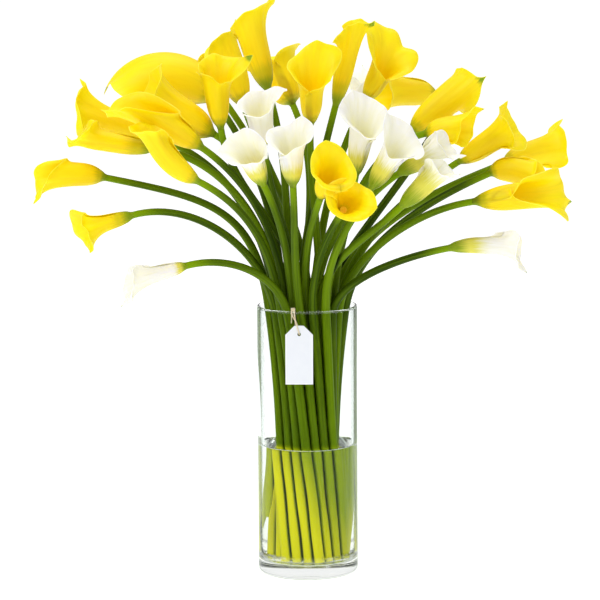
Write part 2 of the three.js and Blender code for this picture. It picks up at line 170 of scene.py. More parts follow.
def turned(profile, sides):
    """Turns a profile, which starts and ends on the axis, round Z into points and faces."""
    points = [(0, 0, profile[0][1])]
    for radius, height in profile[1:-1]:
        for k in range(sides):
            turn = 2 * math.pi * k / sides
            points.append((radius * math.cos(turn), radius * math.sin(turn), height))
    points.append((0, 0, profile[-1][1]))
    top = len(points) - 1 - sides
    faces = []
    for k in range(sides):
        follow = (k + 1) % sides
        faces.append((0, 1 + follow, 1 + k))
        faces.append((len(points) - 1, top + k, top + follow))
        for low in range(1, top, sides):
            faces.append((low + k, low + follow, low + sides + follow, low + sides + k))
    return points, faces


def placed(name, data):
    """A new object in the scene."""
    made = bpy.data.objects.new(name, data)
    bpy.context.collection.objects.link(made)
    return made


def piece(name, points, faces, material, slot, values={}, crease=40):
    """A smooth mesh piece that belongs to the object, with named values stored at its points."""
    mesh = bpy.data.meshes.new(name)
    mesh.from_pydata(points, [], faces)
    mesh.shade_smooth()
    mesh.set_sharp_from_angle(angle=math.radians(crease))
    for key, numbers in values.items():
        if isinstance(numbers[0], float):
            mesh.attributes.new(key, "FLOAT", "POINT").data.foreach_set("value", numbers)
        else:
            flat = [number for vector in numbers for number in vector]
            mesh.attributes.new(key, "FLOAT_VECTOR", "POINT").data.foreach_set("vector", flat)
    mesh.materials.append(material)
    made = placed(name, mesh)
    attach(made, "root")
    return made


lip = WALL / 2
vase_profile = [(0, PUNT), (VASE_RADIUS * 0.5, PUNT * 0.9), (VASE_RADIUS * 0.78, PUNT * 0.4)]
vase_profile += [(VASE_RADIUS * 0.86, 0)]
vase_profile += arc((VASE_RADIUS - FOOT_ROUND, FOOT_ROUND), FOOT_ROUND, -90, 0, 8)
vase_profile += [(VASE_RADIUS, VASE_HEIGHT * share) for share in (0.1, 0.3, 0.5, 0.7, 0.9)]
vase_profile += arc((VASE_RADIUS - lip, VASE_HEIGHT - lip), lip, 0, 180, 12)
vase_profile += [(BORE, VASE_HEIGHT * share) for share in (0.9, 0.7, 0.5, 0.3)]
vase_profile += arc((BORE - FOOT_ROUND, GLASS_FLOOR + FOOT_ROUND), FOOT_ROUND, 0, -90, 8)
vase_profile += [(BORE * 0.4, GLASS_FLOOR), (0, GLASS_FLOOR)]
glass = clear_finish("clear_glass", (0.938, 0.95, 0.942, 1.0), GLASS_BEND, thin=True)
vase = piece("glass_vase", *turned(vase_profile, GLASS_SIDES), glass, "glass")
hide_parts("vase")

# The water fills the vase to just under half its height. It climbs a little at the glass all round,
# and it touches the glass, so its skin lies a hair inside the wall and the floor.

WATER_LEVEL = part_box("water")[1][2]
INTO_GLASS = 0.0002
CLIMB = 0.0014
CLIMB_REACH = CLIMB * 1.6
CLIMB_STEPS = 5
WATER_BEND = 1.333

water_radius = BORE + INTO_GLASS
water_floor = GLASS_FLOOR - INTO_GLASS
water_profile = [(0, water_floor), (water_radius - FOOT_ROUND, water_floor)]
water_profile += arc((water_radius - FOOT_ROUND, water_floor + FOOT_ROUND), FOOT_ROUND, -80, 0, 8)
water_profile += [(water_radius, WATER_LEVEL * share) for share in (0.3, 0.6, 0.9)]
for k in range(CLIMB_STEPS + 1):
    share = k / CLIMB_STEPS
    climbed = CLIMB * (1 - (1 - share) ** 2.5)
    water_profile.append((water_radius - CLIMB_REACH * share, WATER_LEVEL - climbed))
water_profile += [(water_radius - inward, WATER_LEVEL - CLIMB) for inward in (0.0026, 0.006, 0.02)]
water_profile += [(0, WATER_LEVEL - CLIMB)]
still_water = clear_finish("still_water", (0.975, 0.99, 0.97, 1.0), WATER_BEND)
water = piece("vase_water", *turned(water_profile, GLASS_SIDES), still_water, "water")
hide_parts("water")

# The stems are thick, smooth, fleshy stalks, cut square at the foot. They stand in a twisted
# bundle that the vase holds together, then arch out to their flowers, and go pale under water.

PITCH = 0.010  # between neighbours in the bundle
STEM_FOOT = 0.015
RIM_Z = 0.262
WAIST_Z = 0.150
RIM_SPREAD = 1.24
TWIST = math.radians(200)  # for each metre of height
STEM_RADIUS = 0.0046
NECK_RADIUS = 0.0033
STEM_SIDES = 16
LOWER_STEPS = 30
UPPER_STEPS = 30
PRESS = 0.00105  # two stems of one node lean on each other by this much
PRESS_HEIGHTS = (0.040, 0.080)
PRESS_REACH = 0.040
STRAY_FEET = {"yellow_05": 0.058, "yellow_06": 0.044}  # these two swing out under water
STRAY_SWING = {"yellow_05": 1.1, "yellow_06": 2.0}
STRAY_TOP = 0.128
STRAY_REACH = 0.0148
STRAY_BLUNT = 0.5  # share of the stem's thickness at a stray's foot
STRAY_SWELL = 0.17  # and what it gains at each step
# This share also scales the painted light from the left on these two stems.
STRAY_SOAK = 0.35  # how pale it has gone
SQUEEZE_TOP = 0.120
TOUCHING = 0.0004
ROOMY = 0.006
SPOTS_BETWEEN = 4
NECK_LENGTH = 0.035
GRAIN_ROUND = 2.2
GRAIN_ALONG = 14
GRAIN_APART = 9
STEM_VALUES = ("height", "tone", "neck", "soak_and_left_light", "out_of_gap_shade", "cut")

flowers = {}


def grow(name, slot, base, aim, tip, length, **shape):
    """Notes one flower: its slot in the bundle, where its stem ends, and how its spathe lies."""
    usual = dict(lip=0.75, tube=0.011, turns=0.4, flare=60, back=30, bow=0, point=0.12, pull=1.05)
    usual.update(green=0.12, sting=0.005, overlap=24, hand=1, hook=16, curl=40, wave=0.0012, spadix=0.3)
    usual.update(shape, name=name, slot=slot, length=length)
    usual.update(base=Vector(base), aim=Vector(aim).normalized(), tip=Vector(tip))
    lip, flare, back, top = usual["lip"], usual["flare"], usual["back"], 1 - usual["point"]
    side = [(180, lip * 0.66, flare * 0.3), (158, lip * 0.86, flare * 0.8), (130, lip, flare)]
    side += [(90, (lip + top) / 2, flare * 0.75 + back * 0.25), (50, top, flare * 0.3 + back * 0.7)]
    plain = [(-turn, high, out) for turn, high, out in side] + [(0, top, back)] + side[::-1]
    usual.setdefault("rim", plain)
    flowers[name] = usual


grow(
    "yellow_01", (-6, 0), (-0.196, -0.03, 0.401), (-60, -12, 14), (0, -0.2, -1), 0.082,
    tube=0.0125, turns=0.58, bow=28, pull=1.5,
    rim=[(-180, 0.5, 30), (-165, 0.53, 16), (-150, 0.6, 12), (-138, 0.76, 34), (-122, 0.885, 60),
        (-90, 0.885, 46), (-50, 0.9, 38), (0, 0.91, 40), (50, 0.89, 34), (90, 0.76, 20), (130, 0.58, 18),
        (160, 0.5, 24), (180, 0.46, 30)],
)
grow(
    "yellow_02", (-5, -1), (-0.168, -0.07, 0.369), (-51, -12, -13), (0.2, -0.2, -1), 0.059,
    tube=0.0075, turns=0.3, bow=6, green=0.28,
    rim=[(-180, 0.8, 40), (-150, 1.1, 66), (-115, 1.12, 66), (-60, 0.97, 52), (0, 0.88, 50),
        (60, 0.95, 50), (120, 0.9, 40), (180, 0.8, 30)],
)
grow(
    "yellow_03", (-4, 0), (-0.146, -0.06, 0.432), (-63, -12, 9), (-0.2, -0.3, -1), 0.099,
    tube=0.01, turns=0.55, bow=-6, point=0.03, hook=0, sting=0, green=0.22,
    rim=[(-180, 0.62, 30), (-150, 0.74, 80), (-100, 0.8, 60), (-50, 0.84, 0), (0, 0.88, -38),
        (50, 0.84, 0), (100, 0.78, 50), (150, 0.7, 60), (180, 0.6, 20)],
)
grow(
    "yellow_04", (-4, -2), (-0.103, -0.105, 0.405), (-59, -22, 33), (-1, -0.2, -0.9), 0.09,
    tube=0.0115, turns=0.6, bow=-48, point=0.03,
    rim=[(-180, 0.6, -6), (-130, 0.76, 8), (-90, 0.88, 20), (-50, 0.92, 30), (0, 0.9, 40),
        (50, 0.92, 30), (90, 0.88, 20), (130, 0.78, 8), (180, 0.62, -6)],
)
grow(
    "yellow_05", (-5, 1), (-0.137, -0.015, 0.435), (-79, -10, 31), (-0.3, 0.1, 1), 0.104,
    tube=0.0115, turns=0.5, hand=-1, sting=0,
    rim=[(-180, 0.84, 52), (-135, 0.88, 50), (-90, 0.97, 30), (-45, 0.98, 30), (0, 0.9, 46),
        (45, 0.98, 30), (90, 0.93, 30), (135, 0.88, 50), (180, 0.84, 52)],
)
grow(
    "yellow_06", (-4, 2), (-0.089, 0.035, 0.468), (-43, 2, 58), (1, 0, 0.6), 0.132,
    tube=0.026, bow=-120, point=0.08, hook=0, sting=0.02,
    rim=[(-180, 0.62, 30), (-135, 0.8, 44), (-90, 0.86, 26), (-45, 0.84, -14), (0, 0.86, -26),
        (45, 0.84, -14), (90, 0.86, 26), (135, 0.8, 44), (180, 0.62, 30)],
)
grow(
    "yellow_07", (-3, -1), (-0.1, -0.075, 0.434), (-54, -25, 41), (-0.5, -0.2, -1), 0.106,
    tube=0.0135, bow=8,
    rim=[(-180, 0.42, 44), (-135, 0.74, 38), (-90, 0.92, 30), (-45, 0.94, 20), (0, 0.94, 8),
        (40, 0.96, -8), (75, 0.88, -8), (110, 0.6, 10), (145, 0.42, 26), (180, 0.38, 36)],
)
grow(
    "yellow_08", (-2, 0), (-0.089, -0.035, 0.443), (-78, 0, 48), (-0.6, 0.4, 0.8), 0.09,
    lip=0.9, tube=0.017, point=0.02, hook=0, sting=0,
)
grow(
    "yellow_09", (0, 0), (-0.083, -0.045, 0.45), (-6, -12, 50), (1, 0.3, 0.2), 0.084,
    tube=0.012, bow=10, sting=0.018,
    rim=[(-180, 0.76, 16), (-135, 0.72, 22), (-90, 0.62, 28), (-45, 0.68, 40), (0, 0.9, 84),
        (45, 0.86, 50), (90, 0.86, 24), (135, 0.8, 18), (180, 0.76, 16)],
)
grow(
    "yellow_10", (-2, 2), (-0.082, 0.095, 0.464), (-26, 15, 34), (-1, 0.3, 0.3), 0.06,
    lip=0.9, back=40, tube=0.012,
)
grow(
    "yellow_11", (0, 2), (-0.062, 0.055, 0.462), (-22, 15, 64), (1, 0.4, 0.5), 0.092,
    lip=0.8, flare=26, back=15, tube=0.015, turns=0.6, hand=-1,
)
grow(
    "yellow_12", (-3, 1), (-0.037, -0.005, 0.483), (-22, 5, 73), (1, -0.4, 0.2), 0.098,
    tube=0.0135, turns=0.42, point=0.14, sting=0.015, green=0.22,
    rim=[(-180, 0.68, 8), (-135, 0.74, 12), (-90, 0.8, 16), (-45, 0.88, 32), (0, 0.88, 60),
        (45, 0.86, 32), (90, 0.78, 14), (135, 0.72, 8), (180, 0.66, 6)],
)
grow(
    "yellow_13", (-1, 3), (-0.013, 0.09, 0.461), (-25, 25, 53), (-0.2, 1, 0.3), 0.073,
    lip=0.9, flare=62, tube=0.0185, point=0.05,
)
grow(
    "yellow_14", (2, 0), (0.004, -0.035, 0.452), (2, -20, 63), (0.2, 1, 0.3), 0.084,
    tube=0.012, turns=0.3, point=0.01, sting=0,
    rim=[(-180, 0.48, 12), (-150, 0.58, 26), (-120, 0.68, 40), (-95, 0.62, 34), (-75, 0.68, 40),
        (-50, 0.95, 58), (-20, 0.96, 34), (0, 0.98, 22), (25, 0.93, 26), (50, 0.84, 32), (90, 0.8, 38),
        (135, 0.68, 42), (160, 0.56, 28), (180, 0.48, 12)],
)
grow(
    "yellow_15", (-1, 1), (0.029, 0.0, 0.468), (16.5, -5, 65), (1, -0.7, 0), 0.098,
    tube=0.0095, turns=0.58, point=0.1, sting=0.02, green=0.2,
    rim=[(-180, 0.76, 12), (-160, 0.72, 30), (-138, 0.68, 58), (-115, 0.74, 36), (-90, 0.84, 12),
        (-45, 0.9, 16), (0, 0.88, 36), (45, 0.9, 20), (90, 0.9, 10), (135, 0.88, 14), (180, 0.8, 12)],
)
grow(
    "yellow_16", (1, 1), (0.059, 0.035, 0.469), (28, -16, 53), (-0.6, 0.7, 0.3), 0.083,
    tube=0.012, turns=0.3, point=0.03, sting=0,
    rim=[(-180, 0.54, 56), (-135, 0.72, 66), (-92, 0.88, 66), (-64, 0.8, 54), (-40, 1.0, 72),
        (-20, 0.97, 72), (0, 0.99, 76), (45, 0.9, 62), (90, 0.68, 58), (135, 0.5, 46), (180, 0.44, 40)],
)
grow(
    "yellow_17", (2, 2), (0.133, 0.09, 0.471), (-56, -18, 10), (-0.2, -0.3, -1), 0.076,
    lip=0.9, flare=62, tube=0.0145, bow=14, pull=0.6,
)
grow(
    "yellow_18", (3, 1), (0.102, 0.0, 0.441), (54, 5, 46), (0.5, -0.8, 0), 0.092,
    tube=0.015, turns=0.5, sting=0.022,
    rim=[(-180, 0.8, 0), (-135, 0.86, -10), (-90, 0.9, -12), (-45, 0.92, -10), (0, 0.91, -4),
        (30, 0.86, 8), (60, 0.74, 44), (90, 0.66, 76), (130, 0.64, 64), (160, 0.7, 30), (180, 0.76, 6)],
)
grow(
    "yellow_19", (4, 0), (0.115, -0.035, 0.443), (50, -5, 13), (0.4, 0.5, 1), 0.059,
    lip=0.72, flare=36, back=40, tube=0.013, turns=0.35, bow=-24,
)
grow(
    "yellow_20", (5, 1), (0.15, 0.005, 0.411), (56, -10, 38), (-0.2, 0.5, 1), 0.08,
    lip=0.92, flare=64, back=40, tube=0.012, turns=0.45, sting=0,
)
grow(
    "yellow_21", (4, 2), (0.198, 0.07, 0.402), (62, 18, 22), (0, 0.2, 1), 0.079,
    lip=0.9, back=44, tube=0.014, turns=0.5, bow=-10, sting=0,
)
grow(
    "yellow_22", (6, 0), (0.18, -0.01, 0.401), (53, -10, 24), (0.2, -0.3, -1), 0.064,
    lip=0.8, flare=30, back=4, tube=0.013, turns=0.6, bow=76, hand=-1,
)
grow(
    "yellow_23", (5, -1), (0.161, -0.06, 0.379), (90, -16, 13), (0.2, 1.2, -0.5), 0.104,
    tube=0.0135, turns=0.6, bow=14, point=0.15, pull=0.95, hand=-1, overlap=34, sting=0.016,
    rim=[(-180, 0.4, 44), (-150, 0.46, 40), (-120, 0.74, 30), (-90, 0.9, 44), (-45, 0.96, 60),
        (0, 0.9, 70), (45, 0.97, 62), (90, 0.86, 60), (120, 0.62, 40), (150, 0.48, 66), (180, 0.42, 50)],
)
grow(
    "yellow_24", (0, -2), (0.013, -0.115, 0.39), (12, -36, 37), (-0.4, 0.6, 1), 0.07,
    turns=0.25, point=0.03, sting=0, spadix=0.06,
    rim=[(-180, 0.76, 80), (-140, 0.77, 66), (-90, 0.74, 38), (-45, 0.82, 38), (0, 0.86, 42),
        (45, 0.82, 38), (90, 0.74, 38), (140, 0.77, 66), (180, 0.76, 80)],
)
grow(
    "yellow_25", (1, -3), (0.034, -0.123, 0.378), (8, -37, 17), (1, -0.3, -0.2), 0.064,
    turns=0.25, point=0.05, sting=0, spadix=0.06,
    rim=[(-180, 0.72, 80), (-135, 0.66, 76), (-90, 0.6, 62), (-45, 0.66, 72), (0, 0.7, 80),
        (45, 0.66, 72), (90, 0.6, 62), (135, 0.66, 76), (180, 0.72, 80)],
)
grow(
    "white_01", (-3, -3), (-0.116, -0.09, 0.322), (-59, -18, -14), (-0.2, -0.1, -1), 0.077,
    lip=0.76, flare=48, back=32, tube=0.008, turns=0.38, bow=4,
)
grow(
    "white_02", (-1, -1), (-0.041, -0.08, 0.436), (-4, -14, 43), (1, 0.4, 0.4), 0.066,
    tube=0.0115, turns=0.35, point=0.06, sting=0,
    rim=[(-180, 0.64, 30), (-160, 0.7, 48), (-135, 0.62, 48), (-90, 0.66, 36), (-45, 0.77, 28),
        (-20, 0.88, 50), (0, 0.9, 80), (20, 0.88, 50), (45, 0.82, 20), (90, 0.8, 22), (135, 0.78, 40),
        (160, 0.76, 50), (180, 0.66, 30)],
)
grow(
    "white_03", (-2, -2), (-0.041, -0.11, 0.402), (-19, -25, 43), (-1, 0.4, -0.3), 0.071,
    turns=0.3, point=0.06, sting=0, green=0.3,
    rim=[(-180, 0.54, 60), (-135, 0.68, 42), (-90, 0.82, 30), (-45, 0.82, 50), (0, 0.78, 72),
        (45, 0.7, 60), (90, 0.6, 38), (135, 0.56, 45), (180, 0.52, 55)],
)
grow(
    "white_04", (-1, -3), (-0.013, -0.115, 0.401), (-2, -17, 48), (0.7, 0.8, 0.3), 0.074,
    tube=0.0115, turns=0.35, point=0.04, overlap=34, sting=0, green=0.26,
    rim=[(-180, 0.5, 20), (-135, 0.62, 25), (-90, 0.7, 28), (-45, 0.85, 42), (0, 0.9, 16), (45, 0.8, 26),
        (90, 0.8, 46), (135, 0.78, 52), (160, 0.66, 40), (180, 0.56, 25)],
)
grow(
    "white_05", (1, -1), (0.047, -0.085, 0.408), (7, -20, 55), (-0.9, 0.6, 0.8), 0.088,
    turns=0.3, point=0.05, sting=0, green=0.26,
    rim=[(-180, 0.54, 40), (-135, 0.8, 36), (-90, 0.86, 16), (-45, 0.9, 12), (0, 0.93, 14),
        (45, 0.9, 30), (90, 0.84, 52), (135, 0.66, 60), (165, 0.56, 50), (180, 0.5, 35)],
)
grow(
    "white_06", (1, 3), (0.056, 0.13, 0.437), (1, 20, 50), (0.1, 1, 0.1), 0.074,
    flare=54, back=24,
)
grow(
    "white_07", (3, -3), (0.061, -0.105, 0.397), (31, -17, 51), (-0.6, 0.3, 0.8), 0.075,
    turns=0.3, point=0.04, overlap=34, sting=0, green=0.36,
    rim=[(-180, 0.84, 50), (-135, 0.86, 45), (-90, 0.92, 18), (-45, 0.98, 32), (0, 0.96, 52),
        (45, 0.78, 26), (90, 0.64, 20), (135, 0.68, 32), (180, 0.78, 46)],
)
grow(
    "white_08", (3, -1), (0.088, -0.075, 0.408), (36, -10, 25), (0.6, -0.2, -0.8), 0.07,
    lip=0.88, flare=50, tube=0.0095, bow=8, hand=-1, green=0.4,
)
grow(
    "white_09", (2, -2), (0.09, -0.1, 0.379), (42, -15, 42), (0.6, -0.3, -0.8), 0.07,
    lip=0.86, flare=52, back=26, tube=0.0095, turns=0.5, hand=-1, green=0.55,
)
grow(
    "white_10", (4, -2), (0.137, -0.07, 0.335), (68, -10, 13), (0.1, -0.2, -1), 0.088,
    lip=0.84, flare=70, back=44, tube=0.008, turns=0.5, bow=26, pull=0.8, hand=-1, green=0.3,
)

PAIRS = [
    ("white_01", "white_04"), ("yellow_04", "white_03"), ("white_09", "white_07"),
    ("yellow_02", "yellow_07"), ("white_02", "white_05"), ("white_08", "yellow_23"),
    ("yellow_01", "yellow_03"), ("yellow_08", "yellow_09"), ("yellow_14", "yellow_19"),
    ("yellow_12", "yellow_15"), ("yellow_16", "yellow_18"), ("yellow_10", "yellow_11"),
    ("yellow_17", "yellow_21"), ("yellow_13", "white_06"),
]
partners = {one: other for pair in PAIRS for one, other in (pair, pair[::-1])}
pressed_at = {
    name: PRESS_HEIGHTS[abs(flowers[pair[0]]["slot"][1]) % 2] for pair in PAIRS for name in pair
}


def smooth(value, low, high):
    """Rises smoothly from 0 at the low value to 1 at the high one."""
    share = min(max((value - low) / (high - low), 0.0), 1.0)
    return share * share * (3 - 2 * share)


def slot_place(flower):
    """A stem's place in the pack, whose rows are shifted by half a pitch against each other."""
    halves, row = flower["slot"]
    return Vector((halves * PITCH / 2, row * PITCH * math.sqrt(3) / 2))


def lower_point(flower, height):
    """Where a stem is inside the vase: the bundle is a twisted pack that opens at the rim."""
    name = flower["name"]
    place = slot_place(flower)
    if name in partners:
        near = max(0.0, 1 - abs(height - pressed_at[name]) / PRESS_REACH)
        towards = (slot_place(flowers[partners[name]]) - place).normalized()
        place += towards * PRESS * smooth(near, 0, 1)
    opened = min(max((height - WAIST_Z) / (RIM_Z - WAIST_Z), 0), 1.5)
    place *= 1 + (RIM_SPREAD - 1) * opened * opened
    if name in STRAY_FEET:
        swing = (STRAY_TOP - height) / (STRAY_TOP - STRAY_FEET[name])
        place += place.normalized() * STRAY_REACH * min(max(swing, 0.0), 1.0) ** STRAY_SWING[name]
    turn = TWIST * (RIM_Z - height)
    x = place.x * math.cos(turn) - place.y * math.sin(turn)
    y = place.x * math.sin(turn) + place.y * math.cos(turn)
    return Vector((x, y, height))


def upper_point(flower, share):
    """Where a stem is between the vase's rim and its flower."""
    start = lower_point(flower, RIM_Z)
    rise = (start - lower_point(flower, RIM_Z - 0.001)).normalized()
    stop = flower["base"] + flower["aim"] * 0.001
    pull = flower["pull"] * (stop - start).length
    two, three = share**2, share**3
    bend = rise * (three - 2 * two + share) + flower["aim"] * (three - two)
    return start * (2 * three - 3 * two + 1) + stop * (3 * two - 2 * three) + bend * pull


def stem_path(flower):
    """The stem's middle line and its radius at each point, from the cut foot to the flower."""
    foot = STRAY_FEET.get(flower["name"], STEM_FOOT)
    path = []
    for k in range(LOWER_STEPS):
        height = STEM_FOOT + (RIM_Z - STEM_FOOT) * k / LOWER_STEPS
        if height < SQUEEZE_TOP:
            height = foot + (height - STEM_FOOT) / (SQUEEZE_TOP - STEM_FOOT) * (SQUEEZE_TOP - foot)
        blunt = min(1.0, STRAY_BLUNT + STRAY_SWELL * k) if flower["name"] in STRAY_FEET else 1.0
        path.append((lower_point(flower, height), STEM_RADIUS * blunt))
    for k in range(UPPER_STEPS + 1):
        share = k / UPPER_STEPS
        radius = STEM_RADIUS + (NECK_RADIUS - STEM_RADIUS) * share**0.7
        path.append((upper_point(flower, share), radius))
    return path


def tube(path, sides, first=0):
    """A round skin with closed ends along points with radii. Also gives each point's place on it,
    as the turn round it and the way along it."""
    points, faces, places = [], [], []
    heading = (path[1][0] - path[0][0]).normalized()
    side = heading.orthogonal().normalized()
    along = 0.0
    for k, (middle, radius) in enumerate(path):
        before, after = path[max(k - 1, 0)][0], path[min(k + 1, len(path) - 1)][0]
        along += (middle - before).length
        bent = (after - before).normalized()
        side = (heading.rotation_difference(bent) @ side).normalized()
        heading = bent
        up = heading.cross(side)
        for j in range(sides):
            turn = 2 * math.pi * j / sides
            points.append(middle + radius * (math.cos(turn) * side + math.sin(turn) * up))
            places.append((turn, along))
    for ring in range(len(path) - 1):
        for j in range(sides):
            low, follow = first + ring * sides, (j + 1) % sides
            faces.append((low + j, low + follow, low + sides + follow, low + sides + j))
    ends = (path[0][0], path[-1][0])
    last = first + len(points) - sides
    faces += [(first + len(points), first + (j + 1) % sides, first + j) for j in range(sides)]
    faces += [(first + len(points) + 1, last + j, last + (j + 1) % sides) for j in range(sides)]
    return points + list(ends), faces, places + [(0.0, 0.0), (0.0, along)]


stem_paths = {name: stem_path(flower) for name, flower in flowers.items()}
owners, spots = [], []
for name, path in stem_paths.items():
    for (low, _), (high, _) in zip(path, path[1:]):
        owners += [name] * SPOTS_BETWEEN
        spots += [low.lerp(high, k / SPOTS_BETWEEN) for k in range(SPOTS_BETWEEN)]
neighbours = KDTree(len(spots))
for k, spot in enumerate(spots):
    neighbours.insert(spot, k)
neighbours.balance()


def room(point, name):
    """How far a point of a stem's skin is from the next stem: 0 where the next stem touches it, 1 from 6
    mm on. The stalk's painted shade in the gaps follows it.
    """
    near = neighbours.find_range(point, STEM_RADIUS + ROOMY)
    gaps = [away for spot, k, away in near if owners[k] != name]
    return smooth(min(gaps, default=1.0), STEM_RADIUS + TOUCHING, STEM_RADIUS + ROOMY)


def stem_finish():
    """Fleshy, faintly streaked stalk, with painted shade in the gaps between stems, and pale yellow under
    water, where it is also painted lighter on the left as if lit from that side.
    """
    made, wire = finish("calla_stem")
    grain = wire.read("grain", "Vector")
    height, tone, neck, soak_and_left_light, out_of_gap_shade, cut = (wire.read(key) for key in STEM_VALUES)
    streaks = wire.noise(grain, 1.0, 4.0)
    fine = wire.noise(grain, 4.0, 3.0)
    dark, light = paint(38, 60, 0), paint(106, 136, 0)
    green = (streaks.step(0.3, 0.7) * 0.4 + tone * 0.7).blend(dark, light)
    # Painted shade: the stalk is drawn darker where the next stem stands close.
    green = out_of_gap_shade.step(0.0, 0.75).blend(paint(24, 42, 0), green)
    green = (height.step(0.27, 0.23) * 0.22).blend(green, paint(128, 160, 4))
    green = neck.blend(green, paint(118, 150, 0))
    # Under water the stalk is paler towards the foot, as stems standing in water go, and painted lighter
    # towards the left, as if lit from that side.
    wet = (streaks * 0.4 + soak_and_left_light * 1.2 - 0.3).blend(paint(142, 162, 0), paint(228, 222, 4))
    # Painted shade under water too, where the next stem stands close.
    wet = out_of_gap_shade.step(0.0, 0.55).blend(paint(80, 106, 0), wet)
    colour = height.step(WATER_LEVEL + 0.002, WATER_LEVEL - 0.006).blend(green, wet)
    colour = cut.blend(colour, paint(214, 218, 150))
    ridges = wire.bump(fine, 0.25, 0.0004)
    skin = {"Base Color": colour, "Roughness": fine * 0.2 + 0.34, "Normal": ridges}
    skin["Specular IOR Level"] = 0.06
    wire.surface(skin)
    return made


def add_stems(name, members):
    """One piece for the stems of one node."""
    points, faces, grain, height, tone, neck, soak_and_left_light, out_of_gap_shade, cut = ([] for k in range(9))
    for member in members:
        shade = random.Random("stem " + member).uniform(0.0, 1.0)
        skin, quads, places = tube(stem_paths[member], STEM_SIDES, len(points))
        whole = places[-1][1]
        points += skin
        faces += quads
        for turn, along in places:
            apart = math.sin(turn) * GRAIN_ROUND + shade * GRAIN_APART
            grain.append((math.cos(turn) * GRAIN_ROUND, apart, along * GRAIN_ALONG))
        height += [float(point[2]) for point in skin]
        tone += [shade] * len(skin)
        neck += [float(smooth(along, whole - NECK_LENGTH, whole)) for turn, along in places]
        dry = STRAY_SOAK if member in STRAY_FEET else 1.0
        # Paler towards the foot, and painted lighter towards the left as if lit from that side.
        soak_and_left_light += [dry * smooth(-point[2] - point[0] * 2, -0.15, -0.03) for point in skin]
        # Stored for the painted shade in the gaps between stems.
        out_of_gap_shade += [float(room(point, member)) for point in skin]
        cut += [1.0 if k == len(skin) - 2 else 0.0 for k in range(len(skin))]
    values = dict(grain=grain, height=height, tone=tone, neck=neck, soak_and_left_light=soak_and_left_light, out_of_gap_shade=out_of_gap_shade, cut=cut)
    made = piece(name + "_stalk", points, faces, stem_skin, "stem", values)
    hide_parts(name)


stem_skin = stem_finish()
for pair in PAIRS:
    add_stems("stems_" + "_".join(pair), pair)
for single in flowers:
    if single not in partners:
        add_stems("stem_" + single, [single])

# The flower's spathe is one waxy leaf rolled into a funnel, so that its edges cross in front and
# curl back at the mouth, and it ends in a green point behind. The spadix, a soft finger, stands inside.

ROWS = 36
COLUMNS = 88
SPATHE_WALL = 0.0011
RIM_WALL = 0.0005
JOINT_RADIUS = 0.0045
TUBE_START = 0.0046
TUBE_BULGE = 0.085  # share of the length over which the spathe swells from its stem
MOST_SWELL = 0.9
LEAST_RADIUS = 0.0015
LONGEST_TUBE = 0.7  # share of the wall that may stay straight
CURL_FROM = 0.86  # share of the wall from where its margin curls
POINT_SPREAD = 0.24  # an angle on either side of the point, as the next two
CURL_SPREAD = 0.5
HOOK_SPREAD = 0.3
CROWDING = 1.4  # of the columns towards the point
FOOT_SHARE = 0.12  # the part that narrows to the joint
FOOT_NARROW = 0.74
OUTER_LIFT = 0.00035
INNER_SINK = 0.0005
EDGE_LIFT = 0.0008
UNEVEN = 0.0005
PROFILE_STEPS = 40
SPATHE_VALUES = ("along", "inside", "edge", "foot", "point")


def flower_frame(flower):
    """Turns a height, radius and angle in a flower into a point. Angle 0 is the tip's side."""
    along = flower["aim"]
    tip_side = (flower["tip"] - along * flower["tip"].dot(along)).normalized()
    across = along.cross(tip_side)
    bend = math.radians(flower["bow"]) / flower["length"]

    def place(height, radius, angle):
        turned_by = bend * height
        middle = flower["base"].copy()
        middle += along * (math.sin(turned_by) / bend if bend else height)
        middle += tip_side * ((1 - math.cos(turned_by)) / bend if bend else 0.0)
        side = tip_side * math.cos(turned_by) - along * math.sin(turned_by)
        return middle + side * radius * math.cos(angle) + across * radius * math.sin(angle)

    return place


def rim_at(flower, across):
    """How far up the rim is, as a share of the length, and how far it flares, at one angle."""
    turn = math.degrees(across)
    knots = flower["rim"]
    k = max([i for i, knot in enumerate(knots[:-1]) if knot[0] <= turn], default=0)
    before, low, high, after = (knots[min(max(i, 0), len(knots) - 1)] for i in range(k - 1, k + 3))
    span = high[0] - low[0]
    t = (turn - low[0]) / span
    values = []
    for i in (1, 2):
        leaving = (high[i] - before[i]) / (high[0] - before[0]) * span
        arriving = (after[i] - low[i]) / (after[0] - low[0]) * span
        step = t * t * (3 - 2 * t)
        bends = leaving * t * (1 - t) ** 2 - arriving * t * t * (1 - t)
        values.append(low[i] + (high[i] - low[i]) * step + bends)
    return values


def wall_profile(flower, angle):
    """The wall at one angle, from the joint to the rim: radius, height and slope at each step."""
    share, flare = rim_at(flower, angle)
    total = flower["length"] * (share + flower["point"] * math.exp(-abs(angle) / POINT_SPREAD))
    flare = math.radians(flare)
    curl = math.radians(flower["curl"]) * (1 - math.exp(-((angle / CURL_SPREAD) ** 2)))
    curl += math.radians(flower["hook"]) * math.exp(-((angle / HOOK_SPREAD) ** 2))
    turns_from = min(flower["turns"] * flower["length"], total * LONGEST_TUBE)
    bulge = TUBE_BULGE * flower["length"]
    radius, height, slope = JOINT_RADIUS, 0.0, 0.0
    stations = [(radius, height, slope)]
    for k in range(PROFILE_STEPS):
        travelled = (k + 0.5) / PROFILE_STEPS * total
        swell = (flower["tube"] - TUBE_START) / bulge * travelled / bulge
        swell *= math.exp(-travelled / bulge)
        turn = max(0.0, (travelled - turns_from) / (total - turns_from))
        slope = math.asin(min(swell, MOST_SWELL)) + flare * turn**1.6
        slope += curl * max(0.0, travelled / total - CURL_FROM) / (1 - CURL_FROM)
        radius += math.sin(slope) * total / PROFILE_STEPS
        height += math.cos(slope) * total / PROFILE_STEPS
        stations.append((max(radius, LEAST_RADIUS), height, slope))
    return stations, total


